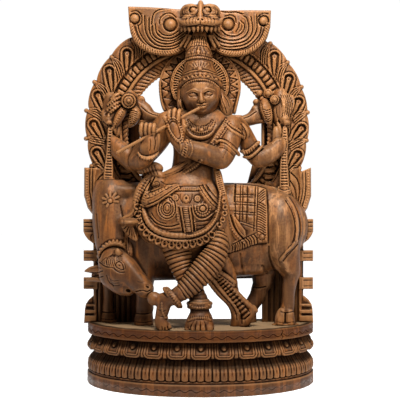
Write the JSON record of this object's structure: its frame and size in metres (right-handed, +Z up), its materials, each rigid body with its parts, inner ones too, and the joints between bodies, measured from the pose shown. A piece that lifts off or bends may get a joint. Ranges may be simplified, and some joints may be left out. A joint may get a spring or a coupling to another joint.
{
  "type": "krishna figure",
  "caption": "Carved wooden flute player standing cross-legged before a grazing cow, inside a flame arch on a double lotus plinth.",
  "frame": {"origin": "middle of the underside, on the surface it stands on", "axes": "+Z up, the front faces -Y, +X to the right as seen from the front"},
  "size_m": [0.564, 0.21, 0.914],
  "materials": {
    "wood": "waxed carved hardwood, darker in the recesses, worn lighter on the high places"
  },
  "bodies": {
    "root": {"krishna_figure": "wood"}
  },
  "joints": []
}
